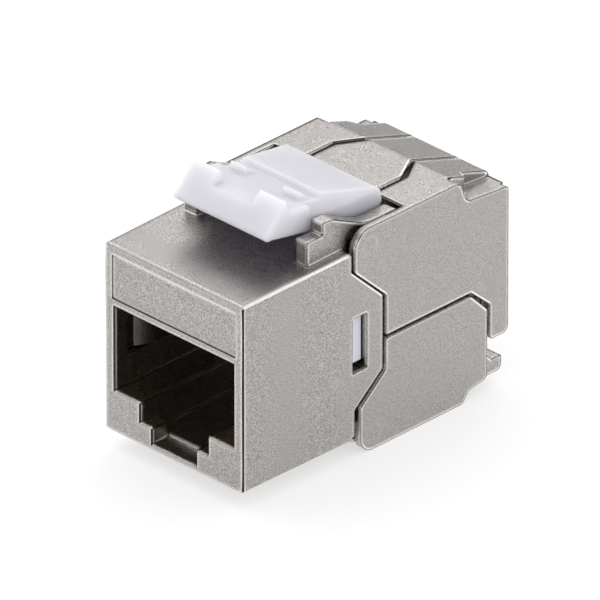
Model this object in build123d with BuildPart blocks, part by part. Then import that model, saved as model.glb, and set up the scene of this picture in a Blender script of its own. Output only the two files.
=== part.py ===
"""Shielded toolless keystone jack: a die-cast front housing with a modular port and a plastic
latch, closed behind by an upper and a lower wing that swing on pins and press the wires down.

Millimetres. +X is right as seen from the port, +Y runs from the port face to the cable end,
+Z is up. The origin is the middle of the bounding box in plan, at the height the jack lies on.
Outlines seen from the side are (depth behind the port face, height) pairs.
"""

from build123d import *
from math import atan2, degrees
import os

# Front housing
housing_width = 14.9
housing_height = 16.35
housing_foot = 1.55
housing_depth = 11.65
draft_growth = 0.1
deck_wall = 0.9
bezel_depth = 1.4
long_edge_radius = 0.35
face_edge_chamfer = 0.15
nose_length = 3.4
nose_top = 13.15
nose_bottom = 6.7
nose_step_top = 16.4
nose_step_bottom = 4.2
nose_foot_length = 0.35
lap_reach = 0.9
lap_thickness = 0.35

# Port, its steps for the plug's own latch, and the label panel above it
port_side_wall = 1.05
port_top = 12.55
shelf_height = 5.2
key_half_width = 3.65
key_height = 3.5
notch_half_width = 2.38
notch_floor = 2.05
notch_lip = 1.8
port_edge_chamfer = 0.14
panel_side_margin = 0.8
panel_bottom = 13.2
panel_top = 17.05
panel_recess = 0.15

# Window in each side of the housing, where a lug of the wire block shows
window_offset = 0.13
window_length = 1.57
window_bottom = 7.45
window_height = 4.8

# Ears beside the latch, carried back as arms for the upper wing's pins
ear_side_gap = 0.35
ear_thickness = 1.25
ear_inset = 3.8
ear_step_length = 1.72
ear_step_rise = 2.15
ear_rise = 3.2
ear_land = 1.0
ear_tail_rise = 1.4
ear_tail_offset = 0.6
arm_underside = 16.7
arm_end_gap = 0.35
deck_reach = 3.55
lower_deck_gap = 0.2

# Wings
wing_plate = 0.65
wing_gap = 0.4
wing_top = 19.55
roof_swing_radius = 4.5
roof_thickness = 1.6
rear_reach = 17.15
rear_slope_length = 5.3
rear_edge_height = 17.75
rear_edge_radius = 0.7
corner_pocket_height = 17.3
corner_pocket_width = 2.15
corner_pocket_length = 5.3
pocket_ledge_width = 0.9
pocket_ledge_length = 2.3
pocket_ledge_skew = 0.6
rear_wall = 0.9
seam_height = 9.45
seam_gap = 0.3
seam_break_length = 2.1
seam_break_drop = 1.85
tongue_width = 2.0
tongue_bottom = 4.5
lower_floor = 0.8
lower_step_length = 2.3
lower_step_rise = 1.1
lower_ramp_length = 1.5
tab_side_inset = 0.45
tab_thickness = 1.25
tab_inset = 0.3
cable_arch_radius = 4.2
cable_height = 9.45

# Swing axes of the wings, at the centres of their rounded front corners
upper_corner_radius = 1.65
lower_wing_gap = 0.65
lower_corner_radius = 1.4
pin_radius = 0.75
pin_clearance = 0.04
pin_seat = 0.4
pin_inner_offset = 0.15
lug_radius = 1.2
lug_thickness = 1.1

# Centre panel let into the upper wing's roof
centre_half_width = 3.6
centre_rear_half_width = 2.25
centre_gap = 0.4
centre_thickness = 0.8
centre_taper_length = 2.4

# Latch
latch_side_gap = 0.3
latch_nose_inset = 7.0
latch_nose_height = 20.7
latch_nose_cut = 0.4
latch_chin_length = 5.15
latch_ramp_length = 2.6
latch_horn_height = 23.4
latch_horn_length = 0.35
latch_cutout_half_width = 2.1
latch_shelf_height = 22.3
latch_shelf_length = 4.0
latch_crease_height = 21.65
latch_plate_rise = 0.35
latch_rear_length = 0.55
latch_rear_top = 20.6
latch_rear_bottom = 18.9
latch_rear_cut = 0.6
latch_belly_length = 7.95
latch_belly_height = 19.15
latch_heel_length = 1.4
latch_nub_width = 1.7
latch_nub_offset = 2.0
latch_nub_setback = 2.2
latch_nub_height = 22.65
latch_nub_length = 1.3
latch_shoulder_height = 20.85
latch_shoulder_width = 0.9
latch_shoulder_rise = 1.15
latch_shoulder_fall = 0.45
latch_edge_radius = 0.2
latch_pivot_inset = 1.05
latch_pivot_height = 18.2
latch_foot_radius = 0.75
latch_trunnion_radius = 0.5
latch_trunnion_length = 0.6
latch_pivot_clearance = 0.05

# Keystone lug under the housing, with a groove for the panel's edge
lug_half_width = 3.5
lug_front_length = 1.35
lug_groove_width = 1.6
lug_rear_length = 1.95
lug_groove_depth = 1.1

# Inner pieces
part_gap = 0.1
insert_front = 1.6
insert_reach = 0.85
insert_wall = 1.9
insert_roof_bottom = 12.75
insert_top = 16.6
cavity_side_wall = 0.65
cavity_bottom = 2.5
cavity_top = 16.9
contact_count = 8
contact_pitch = 1.02
contact_width = 0.4
contact_thickness = 0.3
contact_slot_gap = 0.06
contact_row_height = 14.0
contact_slot_reach = 1.0
contact_slot_drop = 2.5
board_thickness = 1.2
board_bottom = 3.0
board_top = 16.4
block_side_step = 0.25
block_bottom = 3.3
block_top = 15.6
idc_edge_margin = 1.6
idc_per_row = 4
idc_blade_width = 2.2
idc_blade_thickness = 0.4
idc_blade_height = 3.6
idc_slot_width = 0.9
idc_slot_depth = 2.6
idc_fork_gap = 0.35
upper_idc_inset = 4.6
lower_idc_inset = 5.2
guide_length = 3.1
guide_end_gap = 0.3
guide_bottom = 4.6
guide_top = 14.3
cable_bore_radius = 3.7
guide_peg_radius = 0.6
guide_peg_length = 1.5
guide_peg_margin = 1.0
rib_width = 0.6
rib_reach = 1.2
stuffer_side_gap = 0.8
upper_stuffer_gap = 1.05
upper_stuffer_inset = 0.2
lower_stuffer_gap = 3.2
lower_stuffer_inset = 0.7
snap_arm_reach = 2.6
snap_arm_thickness = 0.45
snap_arm_rear = 1.0
window_lug_recess = 0.55
window_lug_step = 0.55
window_lug_length = 1.35
shield_pocket_front = 1.5
shield_pocket_length = 6.6
shield_pocket_height = 3.2
shield_pocket_bottom = 7.9
shield_pocket_depth = 0.5
shield_spring_thickness = 0.2
shield_spring_bow_depth = 0.75

# Worked out from the sizes above
overall_depth = housing_depth + rear_reach
front_y = -overall_depth / 2
housing_half = housing_width / 2
wing_half_width = housing_half + draft_growth
port_half_width = housing_half - port_side_wall
panel_half_width = housing_half - panel_side_margin
cavity_half_width = housing_half - cavity_side_wall
insert_half_width = port_half_width - part_gap
tab_half_width = wing_half_width - tab_side_inset
housing_top = housing_foot + housing_height
rear_top = housing_top + draft_growth
rear_foot = housing_foot - draft_growth
nose_reach = housing_depth + nose_length
nose_foot_reach = housing_depth + nose_foot_length
window_front = housing_depth + window_offset
deck_end = housing_depth + deck_reach
upper_axis_depth = housing_depth + wing_gap + upper_corner_radius
lower_axis_depth = nose_foot_reach + lower_wing_gap + lower_corner_radius
upper_axis_height = wing_top - upper_corner_radius
lower_axis_height = lower_corner_radius
plate_inner = wing_half_width - wing_plate
ear_outer = plate_inner - ear_side_gap
ear_inner = ear_outer - ear_thickness
ear_front = housing_depth - ear_inset
pin_inner_reach = ear_inner + pin_inner_offset
lower_deck_half_width = plate_inner - part_gap - lug_thickness - lower_deck_gap
lug_groove_front = ear_front - lug_groove_width
lug_front = lug_groove_front - lug_front_length
lug_rear = ear_front + lug_rear_length
lap_outer = plate_inner - part_gap
lap_inner = lap_outer - lap_thickness
ridge_depth = overall_depth - rear_slope_length
corner_pocket_start = overall_depth - corner_pocket_length
centre_taper_start = ridge_depth - centre_taper_length
tongue_front = overall_depth - tongue_width
seam_break = tongue_front - seam_break_length
lower_rear = tongue_front - seam_gap
lower_step_depth = lower_rear - lower_step_length
tab_rear = overall_depth - tab_inset
roof_start = upper_axis_depth + roof_swing_radius - 1
arm_end = upper_axis_depth + roof_swing_radius - arm_end_gap
arm_outer = lap_inner - part_gap
arm_inner = arm_outer - snap_arm_thickness
arm_bottom = window_bottom + window_lug_step
arm_top = window_bottom + window_height - part_gap / 2
board_half_width = arm_inner - part_gap
block_half_width = arm_outer - block_side_step
guide_half_width = block_half_width
guide_peg_spacing = 2 * (guide_half_width - guide_peg_margin)
stuffer_half_width = plate_inner - stuffer_side_gap
idc_pitch = 2 * (block_half_width - idc_edge_margin) / (idc_per_row - 1)
insert_rear = housing_depth + insert_reach
port_depth = insert_rear - insert_wall - part_gap
board_front = insert_rear
block_front = board_front + board_thickness
guide_rear = lower_rear - rear_wall - guide_end_gap
block_rear = guide_rear - guide_length
upper_idc_depth = block_rear - upper_idc_inset
lower_idc_depth = block_rear - lower_idc_inset
latch_pivot_depth = arm_end - latch_pivot_inset
latch_rear_depth = latch_pivot_depth + latch_rear_length
latch_half_width = ear_inner - latch_side_gap
latch_nose_depth = housing_depth - latch_nose_inset
latch_chin_depth = latch_nose_depth + latch_chin_length
latch_belly_depth = latch_nose_depth + latch_belly_length
latch_horn_depth = latch_nose_depth + latch_ramp_length
horn_rear = latch_horn_depth + latch_horn_length
latch_nub_depth = horn_rear + latch_nub_setback
latch_crease_depth = horn_rear + latch_shelf_length
plate_front = latch_crease_depth + latch_plate_rise / 2
roof_half = wing_half_width - corner_pocket_width
contact_xs = [(i - (contact_count - 1) / 2) * contact_pitch for i in range(contact_count)]
idc_xs = [(i - (idc_per_row - 1) / 2) * idc_pitch for i in range(idc_per_row)]
sides = {"left": -1, "right": 1}


def side_plane(x):
    """Plane for an outline seen from the side: local (depth, height), facing +X."""
    return Plane(origin=(x, front_y, 0), x_dir=(0, 1, 0), z_dir=(1, 0, 0))


def plan_plane(height):
    """Plane for an outline seen from above: local (x, depth), facing +Z."""
    return Plane(origin=(0, front_y, height), x_dir=(1, 0, 0), z_dir=(0, 0, 1))


def face_plane(depth):
    """Plane for an outline seen from the port: local (x, height), facing -Y."""
    return Plane(origin=(0, front_y + depth, 0), x_dir=(1, 0, 0), z_dir=(0, -1, 0))


def add_outline(*corners, mode=Mode.ADD):
    """Close a face through (x, y, corner radius) corners of the sketch that is open."""
    with BuildLine() as outline:
        FilletPolyline(*[corner[:2] for corner in corners], radius=[c[2] for c in corners], close=True)
    make_face(outline.edges(), mode=mode)


def add_rectangle(low, high, mode=Mode.ADD):
    """Add a rectangle between two opposite corners of the sketch that is open."""
    width = high[0] - low[0]
    height = high[1] - low[1]
    with Locations((low[0] + width / 2, low[1] + height / 2)):
        Rectangle(width, height, mode=mode)


def write(part, label):
    """Label a finished piece and write its STEP file."""
    part.label = label
    export_step(part, f"parts/{label}.step")


os.makedirs("parts", exist_ok=True)

# Front housing: drafted casting with the port, the ears, the side noses and the pin lugs
ear_tail_height = housing_top + ear_tail_rise
with BuildPart() as front_housing:
    with BuildSketch(face_plane(housing_depth)):
        add_rectangle((-wing_half_width, rear_foot), (wing_half_width, rear_top))
    extrude(amount=housing_depth, taper=degrees(atan2(draft_growth, housing_depth)))
    fillet([e for e in front_housing.edges() if abs(e.tangent_at(0.5).Y) > 0.9], long_edge_radius)
    chamfer(front_housing.faces().sort_by(Axis.Y)[0].edges(), face_edge_chamfer)
    with BuildSketch(face_plane(port_depth)):
        add_rectangle((-cavity_half_width, cavity_bottom), (cavity_half_width, cavity_top))
    extrude(amount=-housing_depth, mode=Mode.SUBTRACT)
    for side in sides.values():
        with BuildSketch(side_plane(side * lap_inner)):
            add_outline(
                (housing_depth - 1, nose_step_top, 0),
                (housing_depth, nose_step_top, 0),
                (nose_reach, nose_top, 0.3),
                (nose_reach, nose_bottom, 0.3),
                (nose_foot_reach, nose_step_bottom, 0),
                (nose_foot_reach, rear_foot + long_edge_radius + part_gap, 0),
                (housing_depth - 1, rear_foot + long_edge_radius + part_gap, 0),
            )
        extrude(amount=side * (wing_half_width - lap_inner))
        with BuildSketch(side_plane(side * lap_inner)):
            add_outline(
                (housing_depth - 1, nose_step_top, 0),
                (housing_depth + lap_reach, nose_step_top, 0),
                (nose_reach + lap_reach, nose_top, 0.3),
                (nose_reach + lap_reach, nose_bottom, 0.3),
                (nose_foot_reach + lap_reach, nose_step_bottom, 0),
                (housing_depth - 1, nose_step_bottom, 0),
            )
        extrude(amount=side * lap_thickness)
        with BuildSketch(side_plane(side * ear_inner)):
            add_outline(
                (ear_front, housing_top - deck_wall, 0),
                (ear_front, housing_top + ear_step_rise, 0.1),
                (ear_front + ear_step_length, housing_top + ear_step_rise, 0),
                (ear_front + ear_step_length, housing_top + ear_rise, 0.1),
                (ear_front + ear_step_length + ear_land, housing_top + ear_rise, 0.3),
                (upper_axis_depth + ear_tail_offset, ear_tail_height, 5),
                (arm_end, ear_tail_height, 0.5),
                (arm_end, arm_underside, 0.8),
                (housing_depth - 1, arm_underside, 0),
                (housing_depth - 1, housing_top - deck_wall, 0),
            )
        extrude(amount=side * ear_thickness)
        with BuildSketch(side_plane(side * (plate_inner - part_gap - lug_thickness))):
            with Locations((lower_axis_depth, lower_axis_height)):
                Circle(lug_radius)
            add_outline(
                (housing_depth - 1, rear_foot + 0.2, 0),
                (lower_axis_depth, lower_axis_height - lug_radius + 0.2, 0),
                (lower_axis_depth, lower_axis_height + lug_radius, 0),
                (housing_depth - 1, lower_axis_height + lug_radius, 0),
            )
        extrude(amount=side * lug_thickness)
    with BuildSketch(plan_plane(housing_top - deck_wall)):
        add_rectangle((-ear_outer, housing_depth - 1), (ear_outer, deck_end))
    extrude(amount=deck_wall)
    with BuildSketch(plan_plane(housing_foot)):
        add_rectangle((-lower_deck_half_width, housing_depth - 1), (lower_deck_half_width, deck_end))
    extrude(amount=deck_wall)
    with BuildSketch(side_plane(-lug_half_width)):
        add_outline(
            (lug_front, housing_foot + 0.3, 0),
            (lug_front, 0.5, 0.3),
            (lug_front + 0.5, 0, 0.2),
            (lug_groove_front, 0, 0),
            (lug_groove_front, lug_groove_depth, 0),
            (ear_front, lug_groove_depth, 0),
            (ear_front, 0, 0),
            (lug_rear, 0, 0.3),
            (lug_rear + 0.5, housing_foot + 0.3, 0),
        )
    extrude(amount=2 * lug_half_width)
    with BuildSketch(face_plane(0)):
        add_rectangle((-port_half_width, shelf_height), (port_half_width, port_top))
        add_rectangle((-key_half_width, key_height), (key_half_width, shelf_height))
        add_rectangle((-notch_half_width, notch_floor), (notch_half_width, key_height))
    extrude(amount=-notch_lip, mode=Mode.SUBTRACT)
    port_front = front_housing.edges().filter_by_position(Axis.Y, front_y - 0.01, front_y + 0.01)
    chamfer(
        [e for e in port_front if abs(e.center().X) < housing_half - 0.5
         and notch_floor - 0.1 < e.center().Z < port_top + 0.1],
        port_edge_chamfer,
    )
    with BuildSketch(face_plane(notch_lip)):
        add_rectangle((-port_half_width, shelf_height), (port_half_width, port_top))
        add_rectangle((-key_half_width, notch_floor + 0.35), (key_half_width, shelf_height))
    extrude(amount=-(port_depth - notch_lip), mode=Mode.SUBTRACT)
    with BuildSketch(face_plane(bezel_depth)):
        add_rectangle((-port_half_width, port_top - 0.5), (port_half_width, cavity_top))
    extrude(amount=-(port_depth - bezel_depth), mode=Mode.SUBTRACT)
    with BuildSketch(face_plane(0)):
        add_rectangle((-panel_half_width, panel_bottom), (panel_half_width, panel_top))
    extrude(amount=-panel_recess, mode=Mode.SUBTRACT)
    for side in sides.values():
        with BuildSketch(side_plane(side * (lap_inner - part_gap))):
            add_rectangle(
                (window_front, window_bottom),
                (window_front + window_length, window_bottom + window_height),
            )
        extrude(amount=side * (wing_half_width - lap_inner + 1), mode=Mode.SUBTRACT)
        with BuildSketch(side_plane(side * (port_half_width - 0.1))):
            add_rectangle(
                (shield_pocket_front, shield_pocket_bottom),
                (shield_pocket_front + shield_pocket_length, shield_pocket_bottom + shield_pocket_height),
            )
        extrude(amount=side * (shield_pocket_depth + 0.1), mode=Mode.SUBTRACT)
        with BuildSketch(side_plane(side * (ear_inner - 1))):
            with Locations((upper_axis_depth, upper_axis_height), (lower_axis_depth, lower_axis_height)):
                Circle(pin_radius)
        extrude(amount=side * (plate_inner - ear_inner + 1), mode=Mode.SUBTRACT)
        with BuildSketch(side_plane(side * (ear_inner - 1))):
            with Locations((latch_pivot_depth, latch_pivot_height)):
                Circle(latch_trunnion_radius + latch_pivot_clearance)
        extrude(amount=side * (1 + latch_trunnion_length + 0.3), mode=Mode.SUBTRACT)
write(front_housing.part, "front_housing")


def roof_band(depth_below, thickness, half_width):
    """Slab that follows the roof: flat to the ridge, then sloping to the rear edge."""
    top = wing_top - depth_below
    rear = rear_edge_height - depth_below
    with BuildPart() as band:
        with BuildSketch(side_plane(-half_width)):
            add_outline(
                (roof_start, top, 0),
                (ridge_depth, top, 0.6),
                (overall_depth, rear, rear_edge_radius),
                (overall_depth, rear - thickness, 0),
                (ridge_depth, top - thickness, 0),
                (roof_start, top - thickness, 0),
            )
        extrude(amount=2 * half_width)
    return band.part


def swing_core(half_width):
    """Cylinder about the upper swing axis; the roof's front edge is concentric with it."""
    with BuildPart() as core:
        with BuildSketch(side_plane(-half_width)):
            with Locations((upper_axis_depth, upper_axis_height)):
                Circle(roof_swing_radius)
        extrude(amount=2 * half_width)
    return core.part


def centre_outline(grow):
    """Plan of the centre panel, wide in front and narrow behind, grown by a running gap."""
    with BuildPart() as prism:
        with BuildSketch(plan_plane(cable_height)):
            add_outline(
                (-centre_half_width - grow, roof_start - grow, 0),
                (centre_half_width + grow, roof_start - grow, 0),
                (centre_half_width + grow, centre_taper_start + grow / 2, 0),
                (centre_rear_half_width + grow, ridge_depth, 0),
                (centre_rear_half_width + grow, overall_depth + grow, 0),
                (-centre_rear_half_width - grow, overall_depth + grow, 0),
                (-centre_rear_half_width - grow, ridge_depth, 0),
                (-centre_half_width - grow, centre_taper_start + grow / 2, 0),
            )
        extrude(amount=wing_top)
    return prism.part


def pocket_ledges():
    """Steps in the corner pockets' inner walls, level with the roof's slope and cut off askew."""
    with BuildPart() as ledges:
        for side in sides.values():
            with BuildSketch(plan_plane(corner_pocket_height - rear_wall)):
                add_outline(
                    (side * roof_half, ridge_depth - 1, 0),
                    (side * (roof_half + pocket_ledge_width), ridge_depth - 1, 0),
                    (side * (roof_half + pocket_ledge_width),
                     ridge_depth + pocket_ledge_length - pocket_ledge_skew, 0),
                    (side * roof_half, ridge_depth + pocket_ledge_length, 0),
                )
        extrude(amount=wing_top)
    return ledges.part & roof_band(0, wing_top, wing_half_width)


# Upper wing: roof, two side plates and an arched rear wall, cast in one piece
with BuildPart() as upper_wing:
    for side in sides.values():
        with BuildSketch(side_plane(side * plate_inner)):
            add_outline(
                (upper_axis_depth - upper_corner_radius, wing_top, upper_corner_radius - 0.01),
                (corner_pocket_start, wing_top, 0.6),
                (corner_pocket_start + 0.7, corner_pocket_height + 0.35, 0.8),
                (overall_depth - 1, corner_pocket_height, 2),
                (overall_depth, corner_pocket_height, 0.4),
                (overall_depth, tongue_bottom, 0.6),
                (tongue_front, tongue_bottom, 0.3),
                (tongue_front, seam_height - seam_break_drop, 0.2),
                (seam_break, seam_height, 0.1),
                (nose_reach + wing_gap, seam_height, 0),
                (nose_reach + wing_gap, nose_top - 0.2, 0.4),
                (upper_axis_depth - upper_corner_radius, nose_step_top - 0.25, 0.3),
            )
        extrude(amount=side * wing_plate)
        with BuildSketch(side_plane(side * roof_half)):
            add_outline(
                (roof_start, wing_top, 0),
                (corner_pocket_start, wing_top, 0.6),
                (corner_pocket_start + 0.7, corner_pocket_height + 0.35, 0.8),
                (overall_depth - 1, corner_pocket_height, 2),
                (overall_depth, corner_pocket_height, 0),
                (overall_depth, corner_pocket_height - rear_wall, 0),
                (corner_pocket_start, corner_pocket_height - rear_wall, 0),
                (corner_pocket_start - 0.7, wing_top - roof_thickness, 0),
                (roof_start, wing_top - roof_thickness, 0),
            )
        extrude(amount=side * (corner_pocket_width - wing_plate))
    add(roof_band(0, roof_thickness, roof_half))
    add(pocket_ledges())
    with BuildSketch(face_plane(overall_depth - rear_wall)):
        add_rectangle((-plate_inner, tongue_bottom), (plate_inner, corner_pocket_height - 0.4))
        with Locations((0, cable_height)):
            Circle(cable_arch_radius, mode=Mode.SUBTRACT)
        add_rectangle(
            (-cable_arch_radius, tongue_bottom), (cable_arch_radius, cable_height), mode=Mode.SUBTRACT
        )
    extrude(amount=-rear_wall)
    add(
        roof_band(-1, centre_thickness + 1, centre_half_width + 1) & centre_outline(centre_gap),
        mode=Mode.SUBTRACT,
    )
    add(swing_core(plate_inner), mode=Mode.SUBTRACT)
    for side in sides.values():
        with BuildSketch(side_plane(side * plate_inner)):
            with Locations((upper_axis_depth, upper_axis_height)):
                Circle(pin_radius + pin_clearance)
        extrude(amount=side * pin_seat, mode=Mode.SUBTRACT)
write(upper_wing.part, "upper_wing")

# Centre panel, seated on the roof's lowered middle
with BuildPart() as centre_panel:
    add(roof_band(0, centre_thickness, centre_half_width + 1) & centre_outline(0))
    add(swing_core(centre_half_width + 1), mode=Mode.SUBTRACT)
write(centre_panel.part, "centre_panel")

# Lower wing: floor, two side plates, an arched rear wall and the cable-tie tab
with BuildPart() as lower_wing:
    for side in sides.values():
        with BuildSketch(side_plane(side * plate_inner)):
            add_outline(
                (lower_axis_depth - lower_corner_radius, 0, lower_corner_radius - 0.01),
                (lower_step_depth - 0.4, 0, 0.7),
                (lower_step_depth + 0.3, lower_step_rise - 0.15, 0.7),
                (lower_rear, lower_step_rise + 0.15, 0.5),
                (lower_rear, seam_height - seam_gap - seam_break_drop, 0.2),
                (seam_break, seam_height - seam_gap, 0.1),
                (nose_reach + wing_gap - 0.05, seam_height - seam_gap, 0.2),
                (nose_reach + wing_gap - 0.05, nose_bottom - 0.25, 0.2),
                (lower_axis_depth - lower_corner_radius, nose_step_bottom - 0.1, 0.2),
            )
        extrude(amount=side * wing_plate)
        with BuildSketch(side_plane(side * lap_inner)):
            add_outline(
                (nose_reach + lap_reach + part_gap, seam_height - lap_reach, 0),
                (nose_reach + lap_reach + part_gap, seam_height + lap_reach / 2, 0),
                (seam_break, seam_height + lap_reach / 2, 0),
                (lower_rear - rear_wall, seam_height - seam_break_drop, 0),
                (lower_rear - rear_wall, seam_height - seam_break_drop - lap_reach, 0),
                (seam_break - lap_reach, seam_height - lap_reach, 0),
            )
        extrude(amount=side * lap_thickness)
        with BuildSketch(side_plane(side * lap_inner)):
            add_rectangle(
                (nose_reach + lap_reach + part_gap, seam_height - lap_reach),
                (seam_break - lap_reach, seam_height - seam_gap - 0.1),
            )
        extrude(amount=side * (plate_inner - lap_inner))
    with BuildSketch(side_plane(-plate_inner)):
        add_outline(
            (lower_axis_depth + lug_radius + 0.5, 0, 0.3),
            (lower_step_depth - 0.4, 0, 0.7),
            (lower_step_depth + 0.3, lower_step_rise - 0.15, 0.7),
            (lower_rear, lower_step_rise, 0),
            (lower_rear, lower_step_rise + tab_thickness, 0),
            (lower_step_depth, lower_step_rise + tab_thickness, 0.5),
            (lower_step_depth - lower_ramp_length, lower_floor, 0.5),
            (lower_axis_depth + lug_radius + 0.5, lower_floor, 0.3),
        )
    extrude(amount=2 * plate_inner)
    with BuildSketch(face_plane(lower_rear - rear_wall)):
        add_rectangle((-plate_inner, lower_step_rise + 0.3), (plate_inner, cable_height - 1))
        with Locations((0, cable_height)):
            Circle(cable_arch_radius, mode=Mode.SUBTRACT)
    extrude(amount=-rear_wall)
    with BuildSketch(side_plane(-tab_half_width)):
        add_outline(
            (lower_rear - 0.5, lower_step_rise, 0),
            (tab_rear, lower_step_rise, 0.5),
            (tab_rear, lower_step_rise + tab_thickness, 0.1),
            (lower_rear + 0.9, lower_step_rise + tab_thickness, 0.2),
            (lower_rear, lower_step_rise + tab_thickness + 0.95, 0),
            (lower_rear - 0.5, lower_step_rise + tab_thickness + 0.95, 0),
        )
    extrude(amount=2 * tab_half_width)
    for side in sides.values():
        with BuildSketch(side_plane(side * plate_inner)):
            with Locations((lower_axis_depth, lower_axis_height)):
                Circle(pin_radius + pin_clearance)
        extrude(amount=side * pin_seat, mode=Mode.SUBTRACT)
write(lower_wing.part, "lower_wing")

# Swing pins: pressed in the housing's arms and lugs, free in the wings' blind holes
for row, depth, height, inner in (
    ("upper", upper_axis_depth, upper_axis_height, pin_inner_reach),
    ("lower", lower_axis_depth, lower_axis_height, pin_inner_reach + 0.1),
):
    for side_name, side in sides.items():
        with BuildPart() as pin:
            with BuildSketch(side_plane(side * inner)):
                with Locations((depth, height)):
                    Circle(pin_radius)
            extrude(amount=side * (plate_inner + pin_seat - part_gap - inner))
        write(pin.part, f"{row}_swing_pin_{side_name}")

# Latch: thumb ramp with two horns, a shelf with two nubs, and a plate back to the foot
with BuildPart() as latch_clip:
    with BuildSketch(side_plane(-latch_half_width)):
        add_outline(
            (latch_nose_depth, latch_nose_height, 0.3),
            (latch_horn_depth, latch_horn_height, 0),
            (horn_rear, latch_shelf_height, 0),
            (latch_crease_depth, latch_crease_height, 0),
            (plate_front, latch_crease_height + latch_plate_rise, 0),
            (latch_rear_depth, latch_rear_top, 0.7),
            (latch_rear_depth, latch_rear_bottom, 0.3),
            (latch_pivot_depth - latch_heel_length, latch_rear_bottom - 0.15, 0.6),
            (latch_belly_depth, latch_belly_height, 2),
            (latch_chin_depth, latch_nose_height - 1, 2),
        )
    extrude(amount=2 * latch_half_width)
    with BuildSketch(plan_plane(latch_pivot_height)):
        add_outline(
            (latch_nose_cut - latch_half_width, latch_nose_depth, 0),
            (latch_half_width - latch_nose_cut, latch_nose_depth, 0),
            (latch_half_width, latch_nose_depth + 2 * latch_nose_cut, 0),
            (latch_half_width, latch_rear_depth - latch_rear_cut, 0),
            (latch_half_width - latch_rear_cut, latch_rear_depth, 0),
            (latch_rear_cut - latch_half_width, latch_rear_depth, 0),
            (-latch_half_width, latch_rear_depth - latch_rear_cut, 0),
            (-latch_half_width, latch_nose_depth + 2 * latch_nose_cut, 0),
        )
    extrude(amount=latch_horn_height - latch_pivot_height + 1, mode=Mode.INTERSECT)
    latch_flanks = [f for f in latch_clip.faces() if abs(abs(f.center().X) - latch_half_width) < 0.01]
    fillet([edge for flank in latch_flanks for edge in flank.edges()], latch_edge_radius)
    for side in sides.values():
        for depth, drop in ((latch_nub_depth, 0), (latch_rear_depth + 1, latch_shoulder_fall)):
            with BuildSketch(face_plane(depth)):
                add_outline(
                    (side * latch_half_width, latch_shoulder_height - drop, 0),
                    (side * (latch_half_width + 2 * latch_shoulder_width),
                     latch_shoulder_height - drop, 0),
                    (side * (latch_half_width + 2 * latch_shoulder_width),
                     latch_shoulder_height + 2 * latch_shoulder_rise - drop, 0),
                    (side * (latch_half_width - 2 * latch_shoulder_width),
                     latch_shoulder_height + 2 * latch_shoulder_rise - drop, 0),
                )
        loft(mode=Mode.SUBTRACT)
    with BuildSketch(side_plane(-latch_half_width)):
        with Locations((latch_pivot_depth, latch_pivot_height)):
            Circle(latch_foot_radius)
        add_rectangle(
            (latch_pivot_depth - latch_foot_radius, latch_pivot_height),
            (latch_pivot_depth + latch_foot_radius - 0.3, latch_rear_bottom + 0.3),
        )
    extrude(amount=2 * latch_half_width)
    with BuildSketch(side_plane(-latch_cutout_half_width)):
        add_rectangle((latch_nose_depth, latch_shelf_height), (horn_rear, latch_horn_height + 1))
    extrude(amount=2 * latch_cutout_half_width, mode=Mode.SUBTRACT)
    for side in sides.values():
        with BuildSketch(side_plane(side * latch_nub_offset)):
            add_outline(
                (latch_nub_depth, latch_crease_height, 0),
                (latch_nub_depth, latch_nub_height, 0.1),
                (latch_nub_depth + latch_nub_length, latch_crease_height + 0.1, 0),
                (latch_nub_depth + latch_nub_length, latch_crease_height - 0.5, 0),
                (latch_nub_depth, latch_crease_height - 0.5, 0),
            )
        extrude(amount=side * latch_nub_width)
    with BuildSketch(side_plane(-latch_half_width - latch_trunnion_length)):
        with Locations((latch_pivot_depth, latch_pivot_height)):
            Circle(latch_trunnion_radius)
    extrude(amount=2 * (latch_half_width + latch_trunnion_length))
write(latch_clip.part, "latch_clip")

# Jack insert: contact carrier above and behind the plug's space
contact_front = insert_front + 0.9
contact_tip_depth = insert_rear - insert_wall - 0.35
contact_tip_height = 9.3
with BuildPart() as jack_insert:
    with BuildSketch(side_plane(-insert_half_width)):
        add_outline(
            (insert_front, insert_roof_bottom, 0.2),
            (insert_rear - insert_wall, insert_roof_bottom, 0.3),
            (insert_rear - insert_wall, cavity_bottom + 0.2, 0),
            (insert_rear, cavity_bottom + 0.2, 0),
            (insert_rear, insert_top, 0),
            (insert_front, insert_top, 0.4),
        )
    extrude(amount=2 * insert_half_width)
    for x in contact_xs:
        with BuildSketch(side_plane(x - contact_width / 2 - contact_slot_gap)):
            add_rectangle(
                (contact_front - 0.4, insert_roof_bottom - 1),
                (insert_rear, contact_row_height + contact_thickness / 2 + contact_slot_gap),
            )
            add_rectangle(
                (insert_rear - insert_wall - contact_slot_reach, contact_tip_height - contact_slot_drop),
                (insert_rear - insert_wall + 0.6, insert_roof_bottom),
            )
        extrude(amount=contact_width + 2 * contact_slot_gap, mode=Mode.SUBTRACT)
    for side in sides.values():
        with BuildSketch(side_plane(side * board_half_width)):
            add_rectangle(
                (block_front - snap_arm_reach - part_gap, arm_bottom - part_gap),
                (insert_rear, arm_top + part_gap),
            )
        extrude(amount=side * insert_half_width, mode=Mode.SUBTRACT)
write(jack_insert.part, "jack_insert")

# Port contacts: spring wires bent back from the front of the insert's roof
for number, x in enumerate(contact_xs, start=1):
    with BuildPart() as port_contact:
        with BuildSketch(side_plane(x - contact_width / 2)):
            with BuildLine() as wire_path:
                FilletPolyline(
                    (board_front, contact_row_height),
                    (contact_front, contact_row_height),
                    (contact_tip_depth - 0.2, contact_tip_height),
                    (contact_tip_depth - 0.2, contact_tip_height - 0.6),
                    radius=(0.45, 0.4),
                )
            trace(line_width=contact_thickness)
        extrude(amount=contact_width)
    write(port_contact.part, f"port_contact_{number}")

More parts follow.
